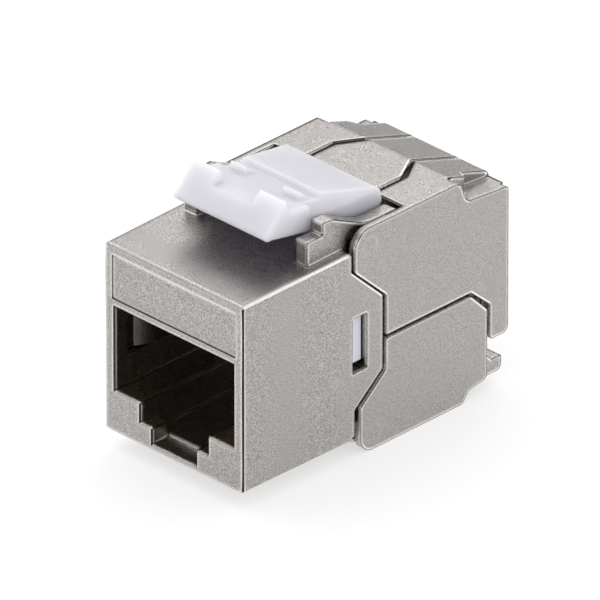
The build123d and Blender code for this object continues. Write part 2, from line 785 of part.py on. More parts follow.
# Circuit board behind the insert, drilled for both rows of blades
tail_hole = 0.42
upper_tail_height = block_top - idc_blade_height - 0.6
lower_tail_height = block_bottom + idc_blade_height + 0.6
with BuildPart() as circuit_board:
    with BuildSketch(face_plane(board_front)):
        add_rectangle((-board_half_width, board_bottom), (board_half_width, board_top))
        with Locations(*[(x, z) for x in idc_xs for z in (upper_tail_height, lower_tail_height)]):
            Circle(tail_hole, mode=Mode.SUBTRACT)
    extrude(amount=-board_thickness)
write(circuit_board.part, "circuit_board")

# Wire block: slotted on top and below, with snap arms whose lugs sit in the side windows
lug_clear = (window_length - window_lug_length) / 2
with BuildPart() as wire_block:
    with BuildSketch(face_plane(block_front)):
        add_rectangle((-block_half_width, block_bottom), (block_half_width, block_top))
    extrude(amount=block_front - block_rear)
    for side in sides.values():
        with BuildSketch(side_plane(side * arm_inner)):
            add_rectangle(
                (block_front - snap_arm_reach, arm_bottom), (block_front + snap_arm_rear, arm_top)
            )
        extrude(amount=side * snap_arm_thickness)
        with BuildSketch(side_plane(side * arm_outer)):
            add_rectangle(
                (window_front + lug_clear, arm_bottom),
                (window_front + lug_clear + window_lug_length, arm_top),
            )
        extrude(amount=side * (wing_half_width - window_lug_recess - arm_outer))
    for x in idc_xs:
        with BuildSketch(side_plane(x - idc_slot_width / 2)):
            add_rectangle((block_front + 1.2, block_top - idc_slot_depth), (block_rear, block_top))
            add_rectangle((block_front + 1.2, block_bottom), (block_rear, block_bottom + idc_slot_depth))
        extrude(amount=idc_slot_width, mode=Mode.SUBTRACT)
        with BuildSketch(side_plane(x - idc_blade_width / 2 - contact_slot_gap)):
            add_rectangle(
                (upper_idc_depth - idc_blade_thickness / 2 - contact_slot_gap,
                 block_top - idc_blade_height - 0.5),
                (upper_idc_depth + idc_blade_thickness / 2 + contact_slot_gap, block_top),
            )
            add_rectangle(
                (lower_idc_depth - idc_blade_thickness / 2 - contact_slot_gap, block_bottom),
                (lower_idc_depth + idc_blade_thickness / 2 + contact_slot_gap,
                 block_bottom + idc_blade_height + 0.5),
            )
        extrude(amount=idc_blade_width + 2 * contact_slot_gap, mode=Mode.SUBTRACT)
        with BuildSketch(side_plane(x - contact_width / 2 - contact_slot_gap)):
            for height, depth in (
                (upper_tail_height, upper_idc_depth), (lower_tail_height, lower_idc_depth)
            ):
                add_rectangle(
                    (block_front, height - contact_width / 2 - contact_slot_gap),
                    (depth + idc_blade_thickness / 2 + contact_slot_gap,
                     height + contact_width / 2 + contact_slot_gap),
                )
        extrude(amount=contact_width + 2 * contact_slot_gap, mode=Mode.SUBTRACT)
    with BuildSketch(face_plane(block_rear)):
        with GridLocations(guide_peg_spacing, 1, 2, 1):
            with Locations((0, cable_height)):
                Circle(guide_peg_radius + contact_slot_gap)
    extrude(amount=guide_peg_length + 0.3, mode=Mode.SUBTRACT)
write(wire_block.part, "wire_block")

# Insulation-displacement contacts: forked blades with a tail into the board
for row, depth, edge, up, tail_height in (
    ("upper", upper_idc_depth, block_top - 0.3, 1, upper_tail_height),
    ("lower", lower_idc_depth, block_bottom + 0.3, -1, lower_tail_height),
):
    for number, x in enumerate(idc_xs, start=1):
        root = tail_height - up * contact_width / 2
        with BuildPart() as idc_contact:
            with BuildSketch(face_plane(depth - idc_blade_thickness / 2)):
                add_rectangle(
                    (x - idc_blade_width / 2, min(edge, tail_height + up * contact_width)),
                    (x + idc_blade_width / 2, max(edge, tail_height + up * contact_width)),
                )
                add_rectangle(
                    (x - contact_width / 2, min(root, tail_height + up * contact_width)),
                    (x + contact_width / 2, max(root, tail_height + up * contact_width)),
                )
                add_outline(
                    (x - idc_fork_gap / 2, edge - up * idc_slot_depth, 0),
                    (x - idc_fork_gap / 2, edge - up * 0.6, 0),
                    (x - 0.5, edge, 0),
                    (x + 0.5, edge, 0),
                    (x + idc_fork_gap / 2, edge - up * 0.6, 0),
                    (x + idc_fork_gap / 2, edge - up * idc_slot_depth, 0),
                    mode=Mode.SUBTRACT,
                )
            extrude(amount=-idc_blade_thickness)
            with BuildSketch(face_plane(block_front - 0.8)):
                add_rectangle(
                    (x - contact_width / 2, tail_height - contact_width / 2),
                    (x + contact_width / 2, tail_height + contact_width / 2),
                )
            extrude(amount=-(depth - block_front + 0.8))
        write(idc_contact.part, f"{row}_idc_contact_{number}")

# Wire guide: cable bore with a channel for each wire, pegged to the wire block
with BuildPart() as wire_guide:
    with BuildSketch(face_plane(block_rear)):
        add_outline(
            (-guide_half_width, guide_bottom, 0.8),
            (guide_half_width, guide_bottom, 0.8),
            (guide_half_width, guide_top, 0.8),
            (-guide_half_width, guide_top, 0.8),
        )
        with Locations((0, cable_height)):
            Circle(cable_bore_radius, mode=Mode.SUBTRACT)
        for x in idc_xs:
            for end, inward in ((guide_top, -1), (guide_bottom, 1)):
                low, high = sorted((end, end + inward * 1.0))
                add_rectangle(
                    (x - idc_slot_width / 2, low), (x + idc_slot_width / 2, high), mode=Mode.SUBTRACT
                )
    extrude(amount=block_rear - guide_rear)
    with BuildSketch(face_plane(block_rear)):
        with GridLocations(guide_peg_spacing, 1, 2, 1):
            with Locations((0, cable_height)):
                Circle(guide_peg_radius)
    extrude(amount=guide_peg_length)
write(wire_guide.part, "wire_guide")

# Wire stuffers: ribbed pads inside the wings that push the wires into the slots
for label, front, rear, base, rib_end, up in (
    ("upper_stuffer", arm_end + upper_stuffer_gap, block_rear - upper_stuffer_inset,
     wing_top - roof_thickness, block_top, -1),
    ("lower_stuffer", deck_end + lower_stuffer_gap, block_rear - lower_stuffer_inset,
     lower_floor, block_bottom, 1),
):
    pad_end = rib_end - up * 0.3
    with BuildPart() as stuffer:
        with BuildSketch(side_plane(-stuffer_half_width)):
            add_rectangle((front, min(base, pad_end)), (rear, max(base, pad_end)))
        extrude(amount=2 * stuffer_half_width)
        for x in idc_xs:
            with BuildSketch(side_plane(x - rib_width / 2)):
                tip = rib_end + up * rib_reach
                add_rectangle((front, min(pad_end, tip)), (rear, max(pad_end, tip)))
            extrude(amount=rib_width)
    write(stuffer.part, label)

# Shield springs: bowed leaves in the housing's inner side pockets
for side_name, side in sides.items():
    pocket_floor = side * (port_half_width + shield_pocket_depth)
    leaf_x = pocket_floor - side * (shield_spring_thickness / 2)
    with BuildPart() as shield_spring:
        with BuildSketch(plan_plane(shield_pocket_bottom + 0.2)):
            with BuildLine():
                start = (leaf_x, shield_pocket_front + 0.2)
                rise = (leaf_x, shield_pocket_front + 0.9)
                crown = (leaf_x - side * shield_spring_bow_depth, shield_pocket_front + shield_pocket_length / 2)
                fall = (leaf_x, shield_pocket_front + shield_pocket_length - 0.9)
                end = (leaf_x, shield_pocket_front + shield_pocket_length - 0.2)
                Line(start, rise)
                ThreePointArc(rise, crown, fall)
                Line(fall, end)
            trace(line_width=shield_spring_thickness)
        extrude(amount=shield_pocket_height - 0.4)
    write(shield_spring.part, f"shield_spring_{side_name}")
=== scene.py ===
"""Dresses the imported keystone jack: its finishes, the moulded latch, the studio and the camera."""

import logging
import math
from dataclasses import dataclass, field
from enum import Enum
from typing import Any, Iterable

import bmesh
import bpy
from mathutils import Matrix, Vector


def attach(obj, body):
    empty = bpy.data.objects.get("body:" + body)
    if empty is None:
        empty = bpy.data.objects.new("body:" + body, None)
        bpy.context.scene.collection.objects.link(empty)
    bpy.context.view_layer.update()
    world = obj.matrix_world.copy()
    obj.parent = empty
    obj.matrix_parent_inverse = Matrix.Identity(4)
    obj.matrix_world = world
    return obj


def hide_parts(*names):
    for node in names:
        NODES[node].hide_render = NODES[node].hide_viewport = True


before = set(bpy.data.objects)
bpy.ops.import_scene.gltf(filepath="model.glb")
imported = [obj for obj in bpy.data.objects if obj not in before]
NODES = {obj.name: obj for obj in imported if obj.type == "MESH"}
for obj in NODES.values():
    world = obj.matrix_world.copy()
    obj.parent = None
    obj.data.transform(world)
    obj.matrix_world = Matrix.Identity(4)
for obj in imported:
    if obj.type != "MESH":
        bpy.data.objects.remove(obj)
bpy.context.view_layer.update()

MM = 0.001
BLACK = "#000000"
WHITE = "#FFFFFF"
LOG = logging.getLogger("keystone_jack")

Material = bpy.types.Material
Node = bpy.types.Node
NodeTree = bpy.types.NodeTree
Socket = bpy.types.NodeSocket


class Direction(Enum):
    """Ways that a light or the camera can face the jack, as azimuth and elevation in degrees."""

    PHOTOGRAPH = (44.70, 29.27)
    KEY = (-62.0, 56.0)
    FILL = (118.0, 32.0)
    BACK = (214.0, 46.0)
    FRONT = (25.0, 9.0)

    def unit(self) -> Vector:
        """Return the unit vector from the jack towards this direction."""
        azimuth, elevation = (math.radians(angle) for angle in self.value)
        return Vector((
            math.sin(azimuth) * math.cos(elevation),
            -math.cos(azimuth) * math.cos(elevation),
            math.sin(elevation),
        ))


def linear(colour: str) -> tuple[float, float, float, float]:
    """Turn an sRGB hex colour into linear RGBA.

    Args:
        colour: Six hex digits after a number sign.

    Returns:
        Linear red, green and blue from 0 to 1, and an alpha of 1.
    """
    channels = [int(colour[i:i + 2], 16) / 255 for i in (1, 3, 5)]
    curve = [c / 12.92 if c <= 0.04045 else ((c + 0.055) / 1.055) ** 2.4 for c in channels]
    return (curve[0], curve[1], curve[2], 1.0)


def per_metre(size_mm: float) -> float:
    """Return the texture scale at which one pattern cell spans size_mm of object space."""
    return 1 / (size_mm * MM)


def rising(band: tuple[float, float]) -> tuple[tuple[float, str], ...]:
    """Return a ramp's stops, black up to the band's start and white from its end."""
    return ((band[0], BLACK), (band[1], WHITE))


def add_node(
    tree: NodeTree,
    kind: str,
    settings: dict[str | int, Any] | None = None,
    links: dict[str | int, Socket] | None = None,
) -> Node:
    """Add a shader node, set its values and link its inputs.

    Args:
        tree: Node tree that receives the node.
        kind: Blender's type name of the node.
        settings: Attributes, or input names or numbers, and their constants. A ramp's "stops" are its
            positions from 0 to 1 with their sRGB hex colours.
        links: Input names or numbers, and the sockets that feed them.

    Returns:
        The new node.
    """
    node = tree.nodes.new(kind)
    for name, value in (settings or {}).items():
        if name == "stops":
            elements = node.color_ramp.elements
            while len(elements) < len(value):
                elements.new(0.5)
            for element, (position, colour) in zip(elements, value):
                element.position = position
                element.color = linear(colour)
        elif isinstance(name, str) and hasattr(node, name):
            setattr(node, name, value)
        else:
            node.inputs[name].default_value = value
    for name, socket in (links or {}).items():
        tree.links.new(socket, node.inputs[name])
    return node


def new_material(name: str) -> tuple[Material, Node, NodeTree]:
    """Make a material with only a Principled shader wired to its output.

    Args:
        name: Name of the material.

    Returns:
        The material, its Principled node and its node tree.
    """
    material = bpy.data.materials.new(name)
    material.use_nodes = True
    tree = material.node_tree
    tree.nodes.clear()
    surface = add_node(tree, "ShaderNodeBsdfPrincipled")
    add_node(tree, "ShaderNodeOutputMaterial", None, {"Surface": surface.outputs[0]})
    return material, surface, tree


@dataclass(frozen=True)
class BlastedNickelCasting:
    """Zinc die casting, bead-blasted and nickel-plated: a warm grey metal with a fine sparkle."""

    name: str = "blasted_nickel_casting"
    body: str = "#ACA8A5"
    pit: str = "#7A7572"
    crown: str = "#D6D2CE"
    # Painted colours: a highlight on the edges, a dark reflection on the corners and shade in the gaps.
    painted_highlight: str = "#FFFCF8"
    painted_dark_edge: str = "#3E3935"
    painted_gap_shade: str = "#1E1A17"
    roughness: float = 0.27
    gloss_swing: tuple[float, float] = (-0.04, 0.06)
    edge_roughness: float = 0.14
    bead_mm: float = 0.07
    bead_depth_mm: float = 0.03
    bead_strength: float = 0.8
    edge_bead_strength: float = 0.08
    mottle_mm: float = 1.6
    edge_mm: float = 0.5
    square_corner_cosine: float = 0.71
    highlight_band: tuple[float, float] = (0.05, 0.16)
    corner_band: tuple[float, float] = (0.5, 0.64)
    highlight_slant: tuple[float, float] = (0.26, 0.44)
    dark_edge_slant: tuple[float, float] = (0.38, 0.46)
    gap_reach_mm: float = 0.7
    gap_band: tuple[float, float] = (0.12, 0.5)
    base_band: tuple[float, float] = (-0.8, -0.95)
    samples: int = 8

    def painted_edge_lines(self, tree: NodeTree, blasted: Socket, rounded: Socket) -> tuple[Socket, Socket]:
        """Paint a highlight along the cast edges and a painted dark reflection along their very corners.

        Args:
            tree: The casting's node tree.
            blasted: Colour of the blasted plate.
            rounded: Normal with the edges rounded over.

        Returns:
            The plate's colour with its painted edge lines, and the mask of the edges with painted
            highlight.
        """
        flat = add_node(tree, "ShaderNodeNewGeometry")
        turn = add_node(
            tree, "ShaderNodeVectorMath", {"operation": "DOT_PRODUCT"},
            {0: rounded, 1: flat.outputs["Normal"]},
        )
        # Edge lean runs from 0 on a flat face to 1 at a square corner, where the rounded normal leans
        # most.
        edge_lean = add_node(
            tree, "ShaderNodeMapRange", {"From Min": 1.0, "From Max": self.square_corner_cosine},
            {"Value": turn.outputs["Value"]},
        )
        edge_sheen_and_wear = add_node(
            tree, "ShaderNodeValToRGB", {"stops": rising(self.highlight_band)},
            {"Fac": edge_lean.outputs["Result"]},
        )
        corner = add_node(
            tree, "ShaderNodeValToRGB", {"stops": rising(self.corner_band)},
            {"Fac": edge_lean.outputs["Result"]},
        )
        # Painted highlight along the edges, then a painted dark reflection along their very corners.
        bright = add_node(
            tree, "ShaderNodeMix", {"data_type": "RGBA", 7: linear(self.painted_highlight)},
            {0: edge_sheen_and_wear.outputs["Color"], 6: blasted},
        )
        edged = add_node(
            tree, "ShaderNodeMix", {"data_type": "RGBA", 7: linear(self.painted_dark_edge)},
            {0: corner.outputs["Color"], 6: bright.outputs[2]},
        )
        return edged.outputs[2], edge_sheen_and_wear.outputs["Color"]

    def slanting_edges(self, tree: NodeTree, colour: Socket) -> Socket:
        """Paint highlights and dark reflections on the chamfers and roundings that the solids have, by
        the way they slant.

        Args:
            tree: The casting's node tree.
            colour: The plate's colour so far.

        Returns:
            The colour with painted highlights and painted dark reflections on its slanting faces.
        """
        where = add_node(tree, "ShaderNodeTexCoord")
        axis = add_node(tree, "ShaderNodeSeparateXYZ", None, {0: where.outputs["Normal"]})
        # A slant between side and top, such as the housing's long edges, gets a painted highlight.
        # A slant between front and side, such as the upright front corners, gets a painted dark
        # reflection.
        for across, band, mark in (
            ("Z", self.highlight_slant, self.painted_highlight),
            ("Y", self.dark_edge_slant, self.painted_dark_edge),
        ):
            slant = add_node(
                tree, "ShaderNodeMath", {"operation": "MULTIPLY"},
                {0: axis.outputs["X"], 1: axis.outputs[across]},
            )
            either = add_node(tree, "ShaderNodeMath", {"operation": "ABSOLUTE"}, {0: slant.outputs[0]})
            marked = add_node(
                tree, "ShaderNodeValToRGB", {"stops": rising(band)}, {"Fac": either.outputs[0]}
            )
            mix = add_node(
                tree, "ShaderNodeMix", {"data_type": "RGBA", 7: linear(mark)},
                {0: marked.outputs["Color"], 6: colour},
            )
            colour = mix.outputs[2]
        return colour

    def shaded_gaps(self, tree: NodeTree, colour: Socket) -> Socket:
        """Paint shade into the gaps and hollows between the castings, where nearby faces keep the light
        out.

        Args:
            tree: The casting's node tree.
            colour: The plate's colour in the open.

        Returns:
            The colour with painted shade in the gaps.
        """
        # Painted shade: ambient occlusion darkens the plate near other faces.
        reach = add_node(
            tree, "ShaderNodeAmbientOcclusion",
            {"samples": self.samples, "Distance": self.gap_reach_mm * MM},
        )
        open_air = add_node(
            tree, "ShaderNodeValToRGB", {"stops": rising(self.gap_band)},
            {"Fac": reach.outputs["AO"]},
        )
        # The faces that the jack lies on get no painted shade.
        flat = add_node(tree, "ShaderNodeNewGeometry")
        facing = add_node(tree, "ShaderNodeSeparateXYZ", None, {0: flat.outputs["Normal"]})
        start, end = self.base_band
        base = add_node(
            tree, "ShaderNodeMapRange", {"From Min": start, "From Max": end},
            {"Value": facing.outputs["Z"]},
        )
        unshaded = add_node(
            tree, "ShaderNodeMath", {"operation": "MAXIMUM"},
            {0: open_air.outputs["Color"], 1: base.outputs["Result"]},
        )
        gap_shaded = add_node(
            tree, "ShaderNodeMix", {"data_type": "RGBA", 6: linear(self.painted_gap_shade)},
            {0: unshaded.outputs[0], 7: colour},
        )
        return gap_shaded.outputs[2]

    def make(self) -> Material:
        """Build the casting's material.

        Returns:
            The finished material.
        """
        material, surface, tree = new_material(self.name)
        place = add_node(tree, "ShaderNodeTexCoord").outputs["Object"]
        # Bead marks are about 0.05 mm on the real plate; drawn at 0.07 mm so that the frame shows them.
        beads = add_node(
            tree, "ShaderNodeTexNoise",
            {"Scale": per_metre(self.bead_mm), "Detail": 1.0, "Roughness": 0.5}, {"Vector": place},
        )
        blasted = add_node(
            tree, "ShaderNodeValToRGB",
            {"stops": ((0.3, self.pit), (0.52, self.body), (0.74, self.crown))},
            {"Fac": beads.outputs["Fac"]},
        )
        # Real cast edges are rounded by about 0.2 mm; drawn at 0.5 mm so that their bright line shows.
        rounded = add_node(
            tree, "ShaderNodeBevel", {"samples": self.samples, "Radius": self.edge_mm * MM}
        )
        edged, sheen_and_wear = self.painted_edge_lines(tree, blasted.outputs["Color"], rounded.outputs["Normal"])
        colour = self.shaded_gaps(tree, self.slanting_edges(tree, edged))
        tree.links.new(colour, surface.inputs["Base Color"])
        # Plate thickness and handling leave slow changes in gloss.
        mottle = add_node(
            tree, "ShaderNodeTexNoise", {"Scale": per_metre(self.mottle_mm), "Detail": 2.0},
            {"Vector": place},
        )
        low, high = self.gloss_swing
        gloss = add_node(
            tree, "ShaderNodeMapRange", {"To Min": self.roughness + low, "To Max": self.roughness + high},
            {"Value": mottle.outputs["Fac"]},
        )
        polish = add_node(
            tree, "ShaderNodeMix", {"data_type": "FLOAT", 3: self.edge_roughness},
            {0: sheen_and_wear, 2: gloss.outputs["Result"]},
        )
        tree.links.new(polish.outputs[0], surface.inputs["Roughness"])
        # The bead marks are rubbed almost flat on the worn edges.
        depth = add_node(
            tree, "ShaderNodeMapRange",
            {"To Min": self.bead_strength, "To Max": self.edge_bead_strength}, {"Value": sheen_and_wear},
        )
        grain = add_node(
            tree, "ShaderNodeBump", {"Distance": self.bead_depth_mm * MM},
            {
                "Strength": depth.outputs["Result"],
                "Height": beads.outputs["Fac"],
                "Normal": rounded.outputs["Normal"],
            },
        )
        tree.links.new(grain.outputs["Normal"], surface.inputs["Normal"])
        surface.inputs["Metallic"].default_value = 1.0
        return material


@dataclass(frozen=True)
class SatinMoulding:
    """Injection-moulded plastic with a satin tool finish: even in tone, with broad soft highlights."""

    name: str
    colour: str
    shade: str
    roughness: float
    edge_mm: float = 0.15
    glow: float = 0.0
    glow_mm: float = 0.6
    edge_highlight: str = ""
    highlight_cosines: tuple[float, float] = (0.8, 0.97)
    ior: float = 1.53
    flow_mm: float = 4.0
    spark_mm: float = 0.12
    spark_depth_mm: float = 0.02
    spark_strength: float = 0.06

    def make(self) -> Material:
        """Build the moulding's material.

        Returns:
            The finished material.
        """
        material, surface, tree = new_material(self.name)
        place = add_node(tree, "ShaderNodeTexCoord").outputs["Object"]
        # Flow of the melt leaves slow, faint changes of tone across the moulding.
        flow = add_node(
            tree, "ShaderNodeTexNoise", {"Scale": per_metre(self.flow_mm), "Detail": 2.0},
            {"Vector": place},
        )
        tone = add_node(
            tree, "ShaderNodeValToRGB", {"stops": ((0.35, self.shade), (0.65, self.colour))},
            {"Fac": flow.outputs["Fac"]},
        )
        colour = tone.outputs["Color"]
        edge = add_node(tree, "ShaderNodeBevel", {"samples": 6, "Radius": self.edge_mm * MM})
        if self.edge_highlight:
            # Painted highlight: the edges are drawn paler than the moulding.
            flat = add_node(tree, "ShaderNodeNewGeometry")
            turn = add_node(
                tree, "ShaderNodeVectorMath", {"operation": "DOT_PRODUCT"},
                {0: edge.outputs["Normal"], 1: flat.outputs["Normal"]},
            )
            corner, face = self.highlight_cosines
            highlight_ramp = add_node(
                tree, "ShaderNodeValToRGB", {"stops": ((corner, WHITE), (face, BLACK))},
                {"Fac": turn.outputs["Value"]},
            )
            pale = add_node(
                tree, "ShaderNodeMix", {"data_type": "RGBA", 7: linear(self.edge_highlight)},
                {0: highlight_ramp.outputs["Color"], 6: colour},
            )
            colour = pale.outputs[2]
        tree.links.new(colour, surface.inputs["Base Color"])
        # Spark-eroded tool texture of about 0.03 mm, drawn at 0.12 mm so that it breaks the highlight.
        spark = add_node(
            tree, "ShaderNodeTexNoise", {"Scale": per_metre(self.spark_mm), "Detail": 2.0},
            {"Vector": place},
        )
        grain = add_node(
            tree, "ShaderNodeBump",
            {"Strength": self.spark_strength, "Distance": self.spark_depth_mm * MM},
            {"Height": spark.outputs["Fac"], "Normal": edge.outputs["Normal"]},
        )
        tree.links.new(grain.outputs["Normal"], surface.inputs["Normal"])
        surface.inputs["Roughness"].default_value = self.roughness
        surface.inputs["IOR"].default_value = self.ior
        # The thin white latch lets light through, which lifts its shaded sides.
        surface.inputs["Subsurface Weight"].default_value = self.glow
        surface.inputs["Subsurface Radius"].default_value = (1.0, 1.0, 1.0)
        surface.inputs["Subsurface Scale"].default_value = self.glow_mm * MM
        return material


@dataclass(frozen=True)
class PlatedContact:
    """Plated spring metal, drawn or stamped: a clear reflection with faint streaks along it."""

    name: str
    colour: str
    streak: str
    roughness: float = 0.22
    line_mm: float = 0.06
    line_stretch: float = 0.08

    def make(self) -> Material:
        """Build the contact's material.

        Returns:
            The finished material.
        """
        material, surface, tree = new_material(self.name)
        place = add_node(tree, "ShaderNodeTexCoord").outputs["Object"]
        # Drawing lines lie 0.06 mm apart across the jack and are stretched along its other two axes.
        along = add_node(
            tree, "ShaderNodeMapping", {"Scale": (1.0, self.line_stretch, self.line_stretch)},
            {"Vector": place},
        )
        lines = add_node(
            tree, "ShaderNodeTexNoise", {"Scale": per_metre(self.line_mm), "Detail": 2.0},
            {"Vector": along.outputs["Vector"]},
        )
        colour = add_node(
            tree, "ShaderNodeValToRGB", {"stops": ((0.3, self.streak), (0.6, self.colour))},
            {"Fac": lines.outputs["Fac"]},
        )
        tree.links.new(colour.outputs["Color"], surface.inputs["Base Color"])
        surface.inputs["Metallic"].default_value = 1.0
        surface.inputs["Roughness"].default_value = self.roughness
        return material


@dataclass(frozen=True)
class SolderResistBoard:
    """Glass-epoxy board under a coat of green solder resist: glossy, with its weave just showing."""

    name: str = "solder_resist_board"
    resist: str = "#1E5A34"
    weave: str = "#17482A"
    thread_mm: float = 0.45
    roughness: float = 0.3
    coat: float = 0.4

    def make(self) -> Material:
        """Build the board's material.

        Returns:
            The finished material.
        """
        material, surface, tree = new_material(self.name)
        place = add_node(tree, "ShaderNodeTexCoord").outputs["Object"]
        threads = add_node(
            tree, "ShaderNodeTexChecker", {"Scale": per_metre(self.thread_mm)}, {"Vector": place}
        )
        colour = add_node(
            tree, "ShaderNodeValToRGB", {"stops": ((0.0, self.weave), (1.0, self.resist))},
            {"Fac": threads.outputs["Fac"]},
        )
        tree.links.new(colour.outputs["Color"], surface.inputs["Base Color"])
        surface.inputs["Roughness"].default_value = self.roughness
        surface.inputs["Coat Weight"].default_value = self.coat
        return material


CASTING = BlastedNickelCasting()
LATCH_WHITE = SatinMoulding(
    "white_latch_moulding", "#D0CFD6", "#CBCAD2", 0.4, edge_mm=0.25, glow=1.0, glow_mm=3.0
)
BLOCK_WHITE = SatinMoulding("white_block_moulding", "#E2E1EA", "#DAD9E4", 0.45)
# The dark insert's edges carry a painted highlight.
INSERT_DARK = SatinMoulding(
    "dark_insert_moulding", "#3D352F", "#332C27", 0.4, edge_mm=0.12, edge_highlight="#A59C92"
)
GOLD_WIRE = PlatedContact("gold_spring_wire", "#E3B75C", "#C99A45")
TINNED_SHEET = PlatedContact("tinned_bronze_sheet", "#CFCDC8", "#B8B5AF", 0.3)
SPRING_SHEET = PlatedContact("bright_spring_sheet", "#C4C1BC", "#A9A6A1", 0.28)
# The shield leaf's colour is darkened to paint the shade deep inside the port.
SHIELD_LEAF = PlatedContact("dark_shield_leaf", "#6C6A68", "#565452", 0.4)
BOARD = SolderResistBoard()


def dress(nodes: Iterable[str], material: Material) -> None:
    """Give CAD nodes a single material.

    Args:
        nodes: Names of the nodes.
        material: Finish that they all take.
    """
    for name in nodes:
        mesh = NODES[name].data
        mesh.materials.clear()
        mesh.materials.append(material)
        LOG.info("%s wears %s", name, material.name)


@dataclass
class Castings:
    """The housing, its two wings and the roof panel, all cast and plated alike."""

    nodes: tuple[str, ...] = ("front_housing", "upper_wing", "lower_wing", "centre_panel")

    def build(self) -> None:
        """Dress the castings."""
        dress(self.nodes, CASTING.make())


@dataclass
class Latch:
    """The white thumb latch between the ears, moulded with every edge rounded over."""

    node: str = "latch_clip"
    body: str = "latch"
    half_width_mm: float = 5.0
    nose_mm: float = -9.75
    nose_cut_mm: float = 0.4
    rear_mm: float = 2.95
    rear_cut_mm: float = 0.6
    cut_fit_mm: float = 0.02
    tail_start_mm: float = 1.6
    tail_height_mm: float = 18.9
    tail_stretch_mm: float = 0.15
    weld_mm: float = 0.002
    voxel_mm: float = 0.1
    smoothing_factor: float = 0.5
    smoothing_rounds: int = 6

    def squared(self, point: Vector) -> Vector:
        """Move a corner of the solid to where it is before the moulding's edges are rounded.

        Args:
            point: Corner of the CAD latch in mm.

        Returns:
            Its place with the cuts in plan filled up and the tail stretched.
        """
        x, y, z = point
        nose_plane = self.half_width_mm - self.nose_cut_mm + (y - self.nose_mm) / 2
        rear_plane = self.half_width_mm - self.rear_cut_mm + self.rear_mm - y
        if min(abs(abs(x) - nose_plane), abs(abs(x) - rear_plane)) < self.cut_fit_mm:
            x = math.copysign(self.half_width_mm, x)
        reach = max(0.0, (y - self.tail_start_mm) / (self.rear_mm - self.tail_start_mm))
        if z > self.tail_height_mm:
            y += self.tail_stretch_mm * reach
        return Vector((x, y, z))

    def moulding(self) -> bpy.types.Object:
        """Build the latch as one closed skin with soft edges.

        Returns:
            The latch's object in metres.
        """
        work = bmesh.new()
        work.from_mesh(NODES[self.node].data)
        for corner in work.verts:
            corner.co = self.squared(corner.co / MM)
        bmesh.ops.remove_doubles(work, verts=work.verts, dist=self.weld_mm)
        block = bpy.data.meshes.new("moulded_latch")
        work.to_mesh(block)
        work.free()
        latch = bpy.data.objects.new("moulded_latch", block)
        bpy.context.scene.collection.objects.link(latch)
        remesh = latch.modifiers.new("skin", "REMESH")
        remesh.mode = "VOXEL"
        remesh.voxel_size = self.voxel_mm
        soften = latch.modifiers.new("round", "SMOOTH")
        soften.factor = self.smoothing_factor
        soften.iterations = self.smoothing_rounds
        evaluated = latch.evaluated_get(bpy.context.evaluated_depsgraph_get())
        skin = bpy.data.meshes.new_from_object(evaluated)
        latch.modifiers.clear()
        skin.transform(Matrix.Scale(MM, 4))
        skin.shade_smooth()
        latch.data = skin
        return latch

    def build(self) -> None:
        """Put the moulded latch in the place of the CAD one."""
        latch = self.moulding()
        latch.data.materials.clear()
        latch.data.materials.append(LATCH_WHITE.make())
        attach(latch, self.body)
        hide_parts(self.node)
        LOG.info("moulded latch has %d faces", len(latch.data.polygons))


@dataclass
class PortInside:
    """Contact carrier, gold contacts and the shield springs seen through the port."""

    contact_count: int = 8
    springs: tuple[str, ...] = ("shield_spring_left", "shield_spring_right")

    def build(self) -> None:
        """Dress everything seen through the port."""
        dress(("jack_insert",), INSERT_DARK.make())
        dress([f"port_contact_{n}" for n in range(1, self.contact_count + 1)], GOLD_WIRE.make())
        dress(self.springs, SHIELD_LEAF.make())


@dataclass
class Termination:
    """Wire block, guide, stuffers, blades, board and swing pins behind the port."""

    mouldings: tuple[str, ...] = ("wire_block", "wire_guide", "upper_stuffer", "lower_stuffer")
    pins: tuple[str, ...] = (
        "upper_swing_pin_left", "upper_swing_pin_right", "lower_swing_pin_left", "lower_swing_pin_right",
    )
    blades_per_row: int = 4

    def build(self) -> None:
        """Dress the pieces that end the wires."""
        dress(self.mouldings, BLOCK_WHITE.make())
        blades = [
            f"{row}_idc_contact_{n}"
            for row in ("upper", "lower")
            for n in range(1, self.blades_per_row + 1)
        ]
        dress(blades, TINNED_SHEET.make())
        dress(self.pins, SPRING_SHEET.make())
        dress(("circuit_board",), BOARD.make())


@dataclass(frozen=True)
class Softbox:
    """A square soft lamp: its distance from the jack, the length of its side and its power."""

    distance_mm: float
    side_mm: float
    watts: float


